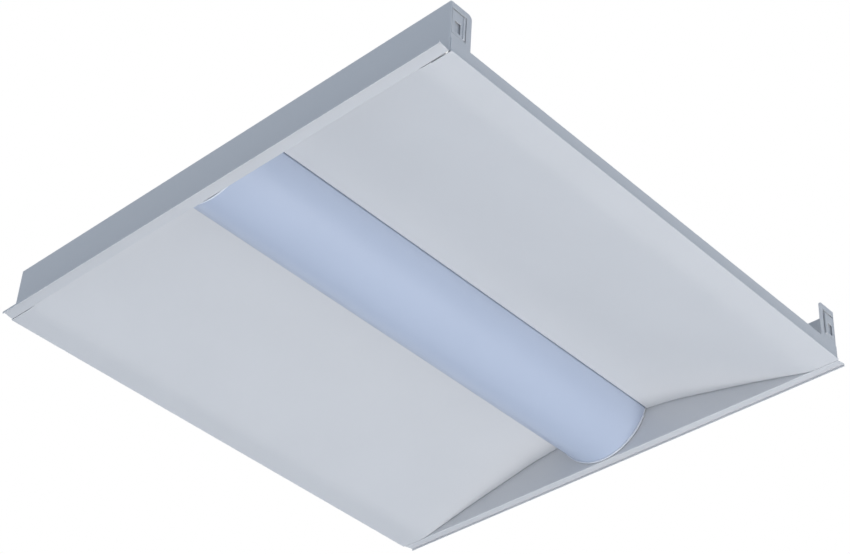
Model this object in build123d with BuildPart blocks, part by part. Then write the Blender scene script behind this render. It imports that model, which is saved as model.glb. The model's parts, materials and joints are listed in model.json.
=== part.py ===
from build123d import *

import os
from math import atan, atan2, cos, sin, tan

# Recessed 2 x 2 ft troffer light. Millimetres, Z up. The origin is the centre of the square
# outline at the level on which the flanges lie on the ceiling grid. X runs across the lens,
# Y along it. The room is below (-Z) and the ceiling void above.

# Whole fixture
side_length = 603.0
end_height = 60.3
sheet = 0.7
seam_gap = 0.05
half_side = side_length / 2

# Wings: how far the underside lies below the top of the end plates at each fold of the
# profile, width of the runs between folds, from the outer edge inwards, and the length of
# sheet that each round takes up on either side of its fold. The outermost slope takes up
# what the other widths and drops leave
wall_inset = 1.3
side_wall_height = 16.5
band_width = 33.9
outer_knee_drop = 40.1
middle_run = 86.3
inner_knee_drop = 21.8
inner_run = 38.7
seam_drop = 17.0
seam_x = 60.0
band_bend_reach = 7.2
outer_knee_reach = 30.9
inner_knee_reach = 12.8
fold_round = 0.5
lens_lip_height = 4.7
wing_return_height = 10.0
wing_return_clearance = 5.0
wing_near_gap = 0.3
wing_far_gap = 0.8
notch_width = 23.1
notch_depth = 0.8

# End plates
end_inset = 12.0
plate_bend = 1.2
foot_bend = 0.6
flange_rise = 2.4
flange_end_gap = 2.0
flange_bend = 0.6
tab_reach = 38.5
tab_corner = 5.0
ear_x = 200.0
ear_width = 20.0
ear_length = 16.0
ear_corner = 4.0
ear_hole_radius = 3.2

# Corner clips, bent out of the tabs. Distances along the tab are from the flange's outer edge
clip_start = 14.5
clip_end = 30.0
clip_foot = 24.0
clip_top_drop = 9.0
clip_slit = 0.5
clip_side_slit = 2.2
clip_top_slit = 2.2
clip_corner = 1.0
clip_window_start = 17.5
clip_window_end = 25.0
clip_window_foot = 27.5
clip_window_top = 40.5
clip_rib_width = 2.2
clip_rib_height = 0.9
backing_gap = 1.2
backing_lap = 2.5
backing_end_gap = 1.4
backing_rise = 3.5
backing_corner = 1.5

# Lens: one arc between two upright legs, which its springs grip. Drops are measured down from
# the ends of the arc or from the top of the legs
lens_bottom = 2.0
lens_edge_drop = 0.25
lens_wall = 2.0
lens_seam_gap = 1.5
lens_leg_height = 5.45
lens_end_gap = 1.1
cap_wall = 1.6
cap_lip = 1.2
cap_lip_drop = 7.05
cap_top_drop = 0.5
cap_spigot = 6.0
cap_spigot_wall = 1.4
cap_spigot_gap = 0.15
cap_spigot_drop = 3.05

# Spine channel
spine_drop = 2.7
spine_gap = 4.6
spine_foot = 18.0

# Lens springs
spring_width = 24.0
spring_thickness = 0.5
spring_clearance = 0.35
spring_grip = 3.7
spring_top_gap = 3.0
spring_bend = 1.5
spring_inset = 86.1
rivet_drop = 4.5
rivet_radius = 1.55
rivet_head_radius = 2.8
rivet_head = 1.0
hole_clearance = 0.1

# Light boards and what is on them
row_x = 26.0
board_end_gap = 4.05
board_width = 20.0
board_thickness = 1.2
board_gap = 4.0
board_corner = 1.5
chip_length = 3.5
chip_width = 2.8
chip_height = 0.7
chip_pitch = 10.6
chip_end_margin = 28.0
connector_length = 14.0
connector_width = 7.0
connector_height = 3.6
connector_corner = 0.6
connector_inset = 14.0
board_screw_inset = 8.0
board_screw_offset = 6.5
board_screw_radius = 1.4
board_screw_head_radius = 2.6
board_screw_head = 1.4
board_screw_length = 3.6

# Driver compartment over the right wing, placed across it from the wing's two knees. Along
# the lens it starts from the first board's connector, whose leads enter through the wire
# bushing, and ends with the wiring box
bushing_run = 35.0
bushing_inset = 12.0
driver_inset = 50.0
driver_end_space = 20.0
tray_inner_distance = 13.3
tray_outer_distance = 18.7
tray_foot = 11.0
box_length = 94.0
box_gap = 1.0
cover_lap = 10.0
cover_wall_gap = 1.07
cover_foot_gap = 2.2
cover_bead_width = 7.0
cover_bead_height = 0.8
cover_bead_margin = 40.0
cover_bead_count = 3
cover_bead_angle = 30.0
hinge_offset = 2.4
hinge_rise = 0.47
knuckle_radius = 2.2
knuckle_length = 9.0
knuckle_gap = 0.3
knuckle_web = 1.3
knuckles_per_hinge = 3
hinge_pin_radius = 1.0
hinge_clearance = 0.3
hinge_near_inset = 50.0
hinge_far_inset = 45.0

# Sheet-metal screws of the cover and the wiring box
screw_radius = 1.6
screw_length = 4.0
screw_head_radius = 3.2
screw_head = 1.8
screw_slot_width = 0.9
screw_slot_depth = 0.7
screw_swing_clearance = 0.9
cover_screw_near_inset = 100.0
cover_screw_far_inset = 60.0
box_screw_near_inset = 14.0
box_screw_far_inset = 45.0

# Driver
driver_side_gap = 22.7
driver_length = 290.0
driver_width = 42.0
driver_top_gap = 1.42
driver_corner = 1.5
driver_base_thickness = 1.0
driver_ear = 9.0
driver_screw_offset = 16.0
driver_screw_radius = 1.7
driver_screw_length = 5.0
terminal_width = 22.0
terminal_length = 7.0
terminal_height = 12.0
terminal_port_radius = 1.5
terminal_port_depth = 3.0
terminal_port_pitch = 5.0

# Conduit knockouts and wiring parts
knockout_radius = 11.1
knockout_inset = 47.0
knockout_side_inset = 35.7
knockout_pitch = 48.0
slug_gap = 0.2
bushing_drop = 5.3
bushing_radius = 4.0
bushing_bore = 2.6
bushing_rim = 1.2
bushing_flange = 1.1
disconnect_knee_distance = 17.0
disconnect_inset = 31.0
disconnect_width = 20.0
disconnect_height = 10.0
disconnect_length = 17.0
disconnect_gap = 0.3
disconnect_corner = 0.8
port_pitch = 5.4
port_radius = 1.3
port_depth = 5.0
ground_side_inset = 20.0
ground_end_inset = 60.0
ground_ring_radius = 4.2
ground_ring_thickness = 0.8
ground_tongue = 8.0
ground_barrel_length = 3.2
ground_screw_side_count = 6

# Insulated leads
lead_radius = 0.95
lead_pitch = 4.0
lead_bend = 6.0
lead_turn = 12.0
connector_port_offset = 1.75
output_pair_offset = 1.3
jumper_sag = 1.5

# Worked out from the sizes above: wings, end plates and clips
wall_face_x = half_side - wall_inset
band_inner_x = half_side - band_width
inner_knee_x = seam_x + inner_run
outer_knee_x = inner_knee_x + middle_run
outer_knee_z = end_height - outer_knee_drop
inner_knee_z = end_height - inner_knee_drop
seam_z = end_height - seam_drop
middle_slope = (inner_knee_z - outer_knee_z) / middle_run
plate_face_y = half_side - end_inset
plate_back_y = plate_face_y - sheet
wing_far_end = plate_back_y - wing_far_gap
wing_near_end = wing_near_gap - plate_back_y
tab_face_x = wall_face_x - sheet - seam_gap
clip_top = end_height - clip_top_drop
backing_x = tab_face_x - sheet - backing_gap
backing_end_y = plate_back_y - backing_end_gap
backing_start_y = half_side - clip_end - clip_side_slit - backing_lap
backing_top = clip_top + clip_top_slit + backing_rise

# Lens and caps
lens_half_width = seam_x - lens_seam_gap
lens_edge_z = seam_z - lens_edge_drop
lens_depth = lens_edge_z - lens_bottom
lens_radius = (lens_half_width**2 + lens_depth**2) / (2 * lens_depth)
lens_centre_z = lens_bottom + lens_radius
lens_leg_top = lens_edge_z + lens_leg_height
cap_top = lens_leg_top - cap_top_drop
cap_lip_top = lens_edge_z - cap_lip_drop
cap_spigot_top = lens_edge_z - cap_spigot_drop
lens_half_length = plate_back_y - lens_end_gap - cap_wall

# Spine, springs and light boards
spine_half_width = seam_x + sheet + spine_gap + sheet
spine_half_length = plate_back_y - seam_gap
spine_top = end_height - spine_drop
spine_under = spine_top - sheet
closure_bottom = seam_z + lens_lip_height + seam_gap
spring_top = spine_under - spring_top_gap
spring_foot = lens_leg_top - spring_grip
rivet_z = spring_top - rivet_drop
board_top = spine_under - seam_gap
board_under = board_top - board_thickness
board_length = spine_half_length - sheet - board_end_gap - board_gap / 2
board_mid_y = (board_length + board_gap) / 2
chips_per_board = int((board_length - 2 * chip_end_margin) / chip_pitch) + 1
first_connector_y = connector_inset - board_length - board_gap / 2
connector_end_y = first_connector_y + connector_length / 2

# Driver compartment across the lens, and its heights
tray_inner_x = inner_knee_x + tray_inner_distance
tray_outer_x = outer_knee_x + tray_outer_distance
platform_under = seam_gap + sheet + inner_knee_z - middle_slope * tray_inner_distance
platform_top = platform_under + sheet
cover_under = spine_top + seam_gap
cover_top = cover_under + sheet
hinge_x = tray_outer_x + hinge_offset
hinge_z = platform_top + hinge_rise
cover_wall_bottom = platform_top + cover_wall_gap
bushing_z = spine_under - bushing_drop
driver_base_top = platform_top + seam_gap + driver_base_thickness
driver_height = cover_under - driver_top_gap - driver_base_top - seam_gap
driver_x = tray_outer_x - driver_side_gap - driver_width / 2
disconnect_x = outer_knee_x - disconnect_knee_distance
ground_x = tray_inner_x + ground_side_inset
knockout_slug_x = tray_outer_x - knockout_side_inset
knockout_open_x = knockout_slug_x - knockout_pitch

# Driver compartment along the lens
bushing_y = connector_end_y + bushing_run
tray_start = bushing_y - bushing_inset
driver_start = tray_start + driver_inset
driver_end = driver_start + driver_length
tray_end = driver_end + driver_end_space
box_start = tray_end + box_gap
box_end = box_start + box_length
knockout_y = box_start + knockout_inset
disconnect_y = box_start + disconnect_inset
ground_y = tray_end - ground_end_inset

os.makedirs("parts", exist_ok=True)


def save(piece, name):
    """Label a finished piece and write it under its own name."""
    piece.part.label = name
    export_step(piece.part, f"parts/{name}.step")


def section_at(y):
    """Plane of an upright cross-section of the fixture at distance y along the lens."""
    return Plane.XZ.offset(-y)


def fold_radius(before, fold, after, reach):
    """Radius of the round at a fold that takes up the length reach on either side of it."""
    angle_in = atan2(fold[1] - before[1], fold[0] - before[0])
    angle_out = atan2(after[1] - fold[1], after[0] - fold[0])
    return reach / tan(abs(angle_out - angle_in) / 2)


def wing_curve(lift):
    """The right wing's profile from its outer edge to the lens, raised by lift."""
    folds = [
        (wall_face_x, lift),
        (band_inner_x, lift),
        (outer_knee_x, outer_knee_z + lift),
        (inner_knee_x, inner_knee_z + lift),
        (seam_x, seam_z + lift),
    ]
    reaches = (band_bend_reach, outer_knee_reach, inner_knee_reach)
    radii = [fold_radius(*folds[i : i + 3], reach) for i, reach in enumerate(reaches)]
    return FilletPolyline(*folds, radius=radii)


def wing_layer(low, high, inner_x, outer_x):
    """Strip that follows the wing between two lifts and two distances from the middle."""
    with BuildSketch() as strip:
        with BuildLine():
            under = wing_curve(low)
            over = wing_curve(high)
            Line(under @ 0, over @ 0)
            Line(under @ 1, over @ 1)
        make_face()
        with Locations(((inner_x + outer_x) / 2, 0)):
            Rectangle(outer_x - inner_x, 2 * side_length, mode=Mode.INTERSECT)
    return strip.sketch


def above_wing(lift, top, inner_x, outer_x):
    """Upright face from the raised wing profile to a level top."""
    with BuildSketch() as face:
        with BuildLine():
            back = wing_curve(lift)
            Polyline(back @ 0, (wall_face_x, end_height), (seam_x, end_height), back @ 1)
        make_face()
        with Locations((inner_x, 0)):
            Rectangle(
                outer_x - inner_x, top, align=(Align.MIN, Align.MIN), mode=Mode.INTERSECT
            )
    return face.sketch


def back_height(x):
    """Height of the wing's upper side at distance x, on the straight run between its knees."""
    return inner_knee_z + sheet - middle_slope * (x - inner_knee_x)


# ---- Wings ---------------------------------------------------------------------------------

wing_skin = wing_layer(0, sheet, seam_x, wall_face_x)
wing_return = wing_layer(
    sheet / 2,
    sheet + wing_return_height,
    spine_half_width + spine_foot + wing_return_clearance,
    tab_face_x - sheet - wing_return_clearance,
)

with BuildPart() as wing:
    with BuildSketch(section_at(wing_far_end)) as wing_profile:
        add(wing_skin)
        with Locations((wall_face_x, 0)):
            Rectangle(sheet, side_wall_height, align=(Align.MAX, Align.MIN))
        with Locations((half_side, 0)):
            Rectangle(wall_inset + sheet, 2 * sheet, align=(Align.MAX, Align.MIN))
        with Locations((seam_x, seam_z)):
            Rectangle(sheet, lens_lip_height, align=(Align.MIN, Align.MIN))
        fillet(wing_profile.vertices().group_by(Axis.X)[-1], radius=fold_round)
        fillet(wing_profile.vertices().group_by(Axis.X)[0].sort_by(Axis.Y)[0], radius=fold_round)
    extrude(amount=wing_far_end - wing_near_end)
    # Both ends are folded up, to stiffen the curve
    for back_y in (wing_far_end, wing_near_end + sheet):
        with BuildSketch(section_at(back_y)):
            add(wing_return)
        extrude(amount=sheet)
    # An ear behind each clip: the end plate's tab slips between the ear and the side wall
    for end in (-1, 1):
        with BuildSketch(Plane.YZ.offset(backing_x)) as ear:
            with Locations((end * (backing_start_y + backing_end_y) / 2, sheet / 2)):
                Rectangle(
                    backing_end_y - backing_start_y,
                    backing_top - sheet / 2,
                    align=(Align.CENTER, Align.MIN),
                )
            fillet(ear.vertices().group_by(Axis.Y)[-1], radius=backing_corner)
        extrude(amount=-sheet)

with BuildPart() as wing_left:
    mirror(wing.part, about=Plane.YZ)
save(wing_left, "wing_left")

with BuildPart() as wing_right:
    add(wing.part)
    # The outer corner at the near end is set back, and its fold with it
    with BuildSketch(section_at(wing_near_end + notch_depth)):
        with Locations((half_side, 0)):
            Rectangle(notch_width, side_wall_height, align=(Align.MAX, Align.MIN))
    extrude(amount=notch_depth, mode=Mode.SUBTRACT)
    with BuildSketch(section_at(wing_near_end + notch_depth + sheet)):
        add(wing_return)
        with Locations((half_side, 0)):
            Rectangle(
                notch_width + sheet,
                side_wall_height,
                align=(Align.MAX, Align.MIN),
                mode=Mode.INTERSECT,
            )
    extrude(amount=sheet)
save(wing_right, "wing_right")

# ---- End plates ----------------------------------------------------------------------------

plate_mid_y = plate_face_y - sheet / 2
tab_mid_x = tab_face_x - sheet / 2
foot_top = sheet + 2 * foot_bend
flange_half_width = half_side - flange_end_gap

with BuildPart() as end_plate_far:
    # The upright plate with its two corner tabs, one strip bent in plan
    with BuildSketch(Plane.XY.offset(foot_top)):
        with BuildLine() as plan:
            FilletPolyline(
                (-tab_mid_x, half_side - tab_reach),
                (-tab_mid_x, plate_mid_y),
                (tab_mid_x, plate_mid_y),
                (tab_mid_x, half_side - tab_reach),
                radius=plate_bend,
            )
        trace(plan.line, line_width=sheet)
    extrude(amount=end_height - foot_top)
    tab_corners = end_plate_far.edges().filter_by(Axis.X).group_by(Axis.Y)[0].group_by(Axis.Z)[-1]
    fillet(tab_corners, radius=tab_corner)
    # The foot: a flange that rises a little outwards and ends in a lip turned down
    with BuildSketch(Plane.YZ):
        with BuildLine() as section:
            FilletPolyline(
                (plate_mid_y, foot_top),
                (plate_mid_y, sheet / 2),
                (half_side - sheet / 2, flange_rise + sheet / 2),
                (half_side - sheet / 2, 0),
                radius=[foot_bend, flange_bend],
            )
        trace(section.line, line_width=sheet)
    extrude(amount=flange_half_width, both=True)
    # Openings in the tabs, in which the corner clips lie
    with BuildSketch(Plane.YZ):
        with Locations((half_side - clip_start + clip_slit, clip_foot - clip_slit)):
            Rectangle(
                clip_end - clip_start + clip_slit + clip_side_slit,
                clip_top - clip_foot + clip_slit + clip_top_slit,
                align=(Align.MAX, Align.MIN),
            )
    extrude(amount=half_side, both=True, mode=Mode.SUBTRACT)
    # Ears folded in from the top edge, for the support wires
    with BuildSketch(Plane.XY.offset(end_height - sheet)) as ears:
        with Locations((-ear_x, plate_mid_y), (ear_x, plate_mid_y)):
            Rectangle(ear_width, ear_length + sheet / 2, align=(Align.CENTER, Align.MAX))
        fillet(ears.vertices().group_by(Axis.Y)[0], radius=ear_corner)
        with Locations(
            (-ear_x, plate_back_y - ear_length / 2), (ear_x, plate_back_y - ear_length / 2)
        ):
            Circle(ear_hole_radius, mode=Mode.SUBTRACT)
    extrude(amount=sheet)
save(end_plate_far, "end_plate_far")

with BuildPart() as end_plate_near:
    mirror(end_plate_far.part, about=Plane.XZ)
save(end_plate_near, "end_plate_near")

# ---- Corner clips --------------------------------------------------------------------------

with BuildPart() as clip_far_right:
    with BuildSketch(Plane.YZ.offset(tab_face_x - sheet)) as panel:
        with Locations((half_side - clip_start, clip_foot)):
            Rectangle(clip_end - clip_start, clip_top - clip_foot, align=(Align.MAX, Align.MIN))
        fillet(panel.vertices().group_by(Axis.X)[0], radius=clip_corner)
        with Locations((half_side - clip_window_start, clip_window_foot)):
            Rectangle(
                clip_window_end - clip_window_start,
                clip_window_top - clip_window_foot,
                align=(Align.MAX, Align.MIN),
                mode=Mode.SUBTRACT,
            )
    extrude(amount=sheet)
    # The free edge is folded outwards into a stiffening rib
    with BuildSketch(Plane.YZ.offset(tab_face_x)):
        with Locations((half_side - clip_end, clip_foot + clip_corner)):
            Rectangle(
                clip_rib_width,
                clip_top - clip_foot - 2 * clip_corner,
                align=(Align.MIN, Align.MIN),
            )
    extrude(amount=clip_rib_height)
save(clip_far_right, "clip_far_right")

with BuildPart() as clip_far_left:
    mirror(clip_far_right.part, about=Plane.YZ)
save(clip_far_left, "clip_far_left")

with BuildPart() as clip_near_right:
    mirror(clip_far_right.part, about=Plane.XZ)
save(clip_near_right, "clip_near_right")

with BuildPart() as clip_near_left:
    mirror(clip_far_left.part, about=Plane.XZ)
save(clip_near_left, "clip_near_left")

# ---- Lens and its end caps -----------------------------------------------------------------

leg_inner_x = lens_half_width - lens_wall
lens_inner_radius = lens_radius - lens_wall
leg_inner_z = lens_centre_z - (lens_inner_radius**2 - leg_inner_x**2) ** 0.5

with BuildPart() as lens:
    with BuildSketch(Plane.XZ):
        with BuildLine():
            Line((-lens_half_width, lens_leg_top), (-lens_half_width, lens_edge_z))
            ThreePointArc(
                (-lens_half_width, lens_edge_z), (0, lens_bottom), (lens_half_width, lens_edge_z)
            )
            Polyline(
                (lens_half_width, lens_edge_z),
                (lens_half_width, lens_leg_top),
                (leg_inner_x, lens_leg_top),
                (leg_inner_x, leg_inner_z),
            )
            ThreePointArc(
                (leg_inner_x, leg_inner_z), (0, lens_bottom + lens_wall), (-leg_inner_x, leg_inner_z)
            )
            Polyline(
                (-leg_inner_x, leg_inner_z),
                (-leg_inner_x, lens_leg_top),
                (-lens_half_width, lens_leg_top),
            )
        make_face()
    extrude(amount=lens_half_length, both=True)
save(lens, "lens")

spigot_radius = lens_inner_radius - cap_spigot_gap
with BuildPart() as lens_cap_far:
    # The cap closes the end; its rim stands a little proud of the lens below the seam
    with BuildSketch(section_at(lens_half_length + seam_gap)):
        with Locations((0, lens_centre_z)):
            Circle(lens_radius + cap_lip)
        with Locations((0, lens_bottom - cap_lip)):
            Rectangle(
                2 * lens_radius + 2 * cap_lip,
                cap_lip_top - lens_bottom + cap_lip,
                align=(Align.CENTER, Align.MIN),
                mode=Mode.INTERSECT,
            )
        with Locations((0, lens_centre_z)):
            Circle(lens_radius)
        with Locations((0, lens_bottom - cap_lip)):
            Rectangle(
                2 * lens_half_width,
                cap_top - lens_bottom + cap_lip,
                align=(Align.CENTER, Align.MIN),
                mode=Mode.INTERSECT,
            )
    extrude(amount=-cap_wall)
    # A shallow sleeve locates the cap inside the lens
    with BuildSketch(section_at(lens_half_length + seam_gap)):
        with Locations((0, lens_centre_z)):
            Circle(spigot_radius)
            Circle(spigot_radius - cap_spigot_wall, mode=Mode.SUBTRACT)
        with Locations((0, lens_bottom)):
            Rectangle(
                2 * spigot_radius,
                cap_spigot_top - lens_bottom,
                align=(Align.CENTER, Align.MIN),
                mode=Mode.INTERSECT,
            )
    extrude(amount=cap_spigot)
save(lens_cap_far, "lens_cap_far")

with BuildPart() as lens_cap_near:
    mirror(lens_cap_far.part, about=Plane.XZ)
save(lens_cap_near, "lens_cap_near")

# ---- Spine channel -------------------------------------------------------------------------

foot_lift = sheet + seam_gap
spine_leg = above_wing(foot_lift, spine_top, spine_half_width - sheet, spine_half_width)
spine_flange = wing_layer(
    foot_lift, foot_lift + sheet, spine_half_width - sheet, spine_half_width + spine_foot
)
spring_places = (spring_inset - lens_half_length, 0, lens_half_length - spring_inset)
cover_screw_places = (tray_start + cover_screw_near_inset, tray_end - cover_screw_far_inset)
box_screw_places = (box_start + box_screw_near_inset, box_end - box_screw_far_inset)
lap_screw_x = spine_half_width - cover_lap / 2
board_screw_y = board_length / 2 - board_screw_inset
board_screw_places = [
    (side * row_x + offset * board_screw_offset, end * board_mid_y + place * board_screw_y)
    for side in (-1, 1)
    for end in (-1, 1)
    for place, offset in ((-1, 1), (0, -1), (1, 1))
]

with BuildPart() as spine_channel:
    with BuildSketch(Plane.XZ):
        with Locations((0, spine_top)):
            Rectangle(2 * spine_half_width, sheet, align=(Align.CENTER, Align.MAX))
        add(spine_leg)
        add(spine_flange)
        mirror(spine_leg, about=Plane.YZ)
        mirror(spine_flange, about=Plane.YZ)
    extrude(amount=spine_half_length, both=True)
    for end in (-1, 1):
        with BuildSketch(section_at(end * (spine_half_length - sheet / 2))):
            with Locations((0, spine_top)):
                Rectangle(
                    2 * spine_half_width,
                    spine_top - closure_bottom,
                    align=(Align.CENTER, Align.MAX),
                )
        extrude(amount=sheet / 2, both=True)
    # Holes: board screws, cover screws with room to swing, box screws
    with BuildSketch(Plane.XY.offset(spine_under)):
        with Locations(board_screw_places):
            Circle(board_screw_radius + hole_clearance)
        with Locations([(lap_screw_x, y) for y in cover_screw_places]):
            Circle(screw_radius + screw_swing_clearance)
        with Locations([(lap_screw_x, y) for y in box_screw_places]):
            Circle(screw_radius + hole_clearance)
    extrude(amount=sheet, mode=Mode.SUBTRACT)
    # Rivet holes of the lens springs, in both legs
    with BuildSketch(Plane.YZ):
        with Locations([(y, rivet_z) for y in spring_places]):
            Circle(rivet_radius + hole_clearance)
    extrude(amount=spine_half_width, both=True, mode=Mode.SUBTRACT)
    # Hole for the wire bushing, in the leg beside the driver
    with BuildSketch(Plane.YZ):
        with Locations((bushing_y, bushing_z)):
            Circle(bushing_radius)
    extrude(amount=spine_half_width, mode=Mode.SUBTRACT)
save(spine_channel, "spine_channel")

# ---- Lens springs and rivets ---------------------------------------------------------------

spring_outer_x = spine_half_width - sheet - seam_gap - spring_thickness / 2
spring_inner_x = leg_inner_x - spring_clearance - spring_thickness / 2

with BuildPart() as lens_springs_right:
    for y in spring_places:
        with BuildSketch(section_at(y)):
            with BuildLine() as bend:
                FilletPolyline(
                    (spring_outer_x, spring_foot),
                    (spring_outer_x, spring_top),
                    (spring_inner_x, spring_top),
                    (spring_inner_x, spring_foot),
                    radius=spring_bend,
                )
            trace(bend.line, line_width=spring_thickness)
        extrude(amount=spring_width / 2, both=True)
    with BuildSketch(Plane.YZ.offset(spring_outer_x - spring_thickness)):
        with Locations([(y, rivet_z) for y in spring_places]):
            Circle(rivet_radius + hole_clearance)
    extrude(amount=2 * spring_thickness, mode=Mode.SUBTRACT)
save(lens_springs_right, "lens_springs_right")

with BuildPart() as lens_springs_left:
    mirror(lens_springs_right.part, about=Plane.YZ)
save(lens_springs_left, "lens_springs_left")

rivet_inner_x = spring_outer_x - spring_thickness / 2 - seam_gap
with BuildPart() as spring_rivets:
    with BuildSketch(Plane.YZ.offset(rivet_inner_x - rivet_head)):
        with Locations([(y, rivet_z) for y in spring_places]):
            Circle(rivet_radius)
    extrude(amount=spine_half_width + seam_gap + 2 * rivet_head - rivet_inner_x)
    with BuildSketch(
        Plane.YZ.offset(rivet_inner_x - rivet_head),
        Plane.YZ.offset(spine_half_width + seam_gap),
    ):
        with Locations([(y, rivet_z) for y in spring_places]):
            Circle(rivet_head_radius)
    extrude(amount=rivet_head)
    mirror(about=Plane.YZ)
save(spring_rivets, "spring_rivets")

# ---- Light boards --------------------------------------------------------------------------

for side, side_name in ((-1, "left"), (1, "right")):
    for end, end_name in ((-1, "near"), (1, "far")):
        with BuildPart() as board:
            with BuildSketch(Plane.XY.offset(board_under)) as outline:
                with Locations((side * row_x, end * board_mid_y)):
                    Rectangle(board_width, board_length)
                fillet(outline.vertices(), radius=board_corner)
                with Locations(board_screw_places):
                    Circle(board_screw_radius + hole_clearance, mode=Mode.SUBTRACT)
            extrude(amount=board_thickness)
        save(board, f"light_board_{side_name}_{end_name}")

    with BuildPart() as chips:
        with BuildSketch(Plane.XY.offset(board_under - seam_gap)):
            with Locations(
                (side * row_x, -board_mid_y),
                (side * row_x, board_mid_y),
            ):
                with GridLocations(0, chip_pitch, 1, chips_per_board):
                    Rectangle(chip_width, chip_length)
        extrude(amount=-chip_height)
    save(chips, f"diodes_{side_name}")

connector_places = [(side * row_x, y) for side in (-1, 1) for y in (first_connector_y, 0)]
connector_under = board_under - seam_gap - connector_height

with BuildPart() as board_connectors:
    with BuildSketch(Plane.XY.offset(connector_under)):
        with Locations(connector_places):
            RectangleRounded(connector_width, connector_length, connector_corner)
    extrude(amount=connector_height)
save(board_connectors, "board_connectors")

with BuildPart() as board_screws:
    with BuildSketch(Plane.XY.offset(board_under - seam_gap - board_screw_head)):
        with Locations(board_screw_places):
            Circle(board_screw_head_radius)
    extrude(amount=board_screw_head)
    with BuildSketch(Plane.XY.offset(board_under - seam_gap - board_screw_head)):
        with Locations(board_screw_places):
            Circle(board_screw_radius)
    extrude(amount=board_screw_head + board_screw_length)
save(board_screws, "board_screws")

# ---- Driver tray ---------------------------------------------------------------------------

tray_leg = above_wing(foot_lift, platform_top, tray_outer_x - sheet, tray_outer_x)
tray_outer_foot = wing_layer(
    foot_lift, foot_lift + sheet, tray_outer_x - sheet, tray_outer_x + tray_foot
)
tray_inner_foot = wing_layer(
    foot_lift, foot_lift + sheet, tray_inner_x - tray_foot, tray_inner_x
)
driver_screw_places = [
    (driver_x + across * driver_screw_offset, y)
    for across in (-1, 1)
    for y in (driver_start - driver_ear / 2, driver_end + driver_ear / 2)
]
hinge_places = (tray_start + hinge_near_inset, tray_end - hinge_far_inset)
knuckle_step = knuckle_length + knuckle_gap


def knuckle(centre_y, bore, web_low, web_high):
    """One rolled hinge knuckle with the web that joins it to its sheet."""
    with BuildPart() as roll:
        with BuildSketch(section_at(centre_y)):
            with Locations((hinge_x, hinge_z)):
                Circle(knuckle_radius)
            with Locations((tray_outer_x - sheet / 2, hinge_z + web_low)):
                Rectangle(
                    hinge_offset + sheet / 2,
                    web_high - web_low,
                    align=(Align.MIN, Align.MIN),
                )
            with Locations((hinge_x, hinge_z)):
                Circle(bore, mode=Mode.SUBTRACT)
        extrude(amount=knuckle_length / 2, both=True)
    return roll.part


tray_knuckles = [
    knuckle(y + end * knuckle_step, hinge_pin_radius + seam_gap, -knuckle_radius, -knuckle_web)
    for y in hinge_places
    for end in (-1, 1)
]
cover_knuckles = [
    knuckle(y, hinge_pin_radius + hinge_clearance, knuckle_web, knuckle_radius)
    for y in hinge_places
]

with BuildPart() as driver_tray:
    with BuildSketch(section_at((tray_start + tray_end) / 2)):
        with Locations((tray_outer_x, platform_top)):
            Rectangle(tray_outer_x - tray_inner_x, sheet, align=(Align.MAX, Align.MAX))
        add(tray_leg)
        add(tray_outer_foot)
        add(tray_inner_foot)
    extrude(amount=(tray_end - tray_start) / 2, both=True)
    add(tray_knuckles)
    with BuildSketch(Plane.XY.offset(platform_under)):
        with Locations(driver_screw_places):
            Circle(driver_screw_radius + hole_clearance)
        with Locations((ground_x, ground_y)):
            Circle(screw_radius + hole_clearance)
    extrude(amount=sheet, mode=Mode.SUBTRACT)
save(driver_tray, "driver_tray")

# ---- Driver cover, on two hinges -----------------------------------------------------------

cover_inner_x = spine_half_width - cover_lap
cover_length = tray_end - tray_start
cover_mid_y = (tray_start + tray_end) / 2
bead_length = tray_outer_x - spine_half_width - cover_bead_margin
bead_pitch = cover_length / (cover_bead_count + 1)
cover_end_wall = above_wing(
    sheet + cover_foot_gap, cover_top, spine_half_width + cover_foot_gap / 2, tray_outer_x
)

with BuildPart() as driver_cover:
    with BuildSketch(section_at(cover_mid_y)):
        with Locations((tray_outer_x, cover_top)):
            Rectangle(tray_outer_x - cover_inner_x, sheet, align=(Align.MAX, Align.MAX))
            Rectangle(sheet, cover_top - cover_wall_bottom, align=(Align.MAX, Align.MAX))
    extrude(amount=cover_length / 2, both=True)
    with BuildSketch(section_at(tray_start + sheet / 2)):
        add(cover_end_wall)
        with Locations((tray_outer_x, cover_top)):
            Rectangle(
                tray_outer_x - cover_inner_x,
                cover_top - cover_wall_bottom,
                align=(Align.MAX, Align.MAX),
                mode=Mode.INTERSECT,
            )
    extrude(amount=sheet / 2, both=True)
    add(cover_knuckles)
    # Pressed beads that stiffen the top
    with BuildSketch(Plane.XY.offset(cover_top)):
        with Locations(((spine_half_width + tray_outer_x) / 2, cover_mid_y)):
            with GridLocations(0, bead_pitch, 1, cover_bead_count):
                SlotOverall(bead_length, cover_bead_width)
    extrude(amount=cover_bead_height, taper=cover_bead_angle)
    with BuildSketch(Plane.XY.offset(cover_under)):
        with Locations([(lap_screw_x, y) for y in cover_screw_places]):
            Circle(screw_radius + seam_gap)
    extrude(amount=sheet, mode=Mode.SUBTRACT)
save(driver_cover, "driver_cover")

with BuildPart() as hinge_pins:
    for y in hinge_places:
        with BuildSketch(section_at(y)):
            with Locations((hinge_x, hinge_z)):
                Circle(hinge_pin_radius)
        extrude(amount=knuckles_per_hinge * knuckle_length / 2 + knuckle_gap, both=True)
save(hinge_pins, "hinge_pins")


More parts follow.
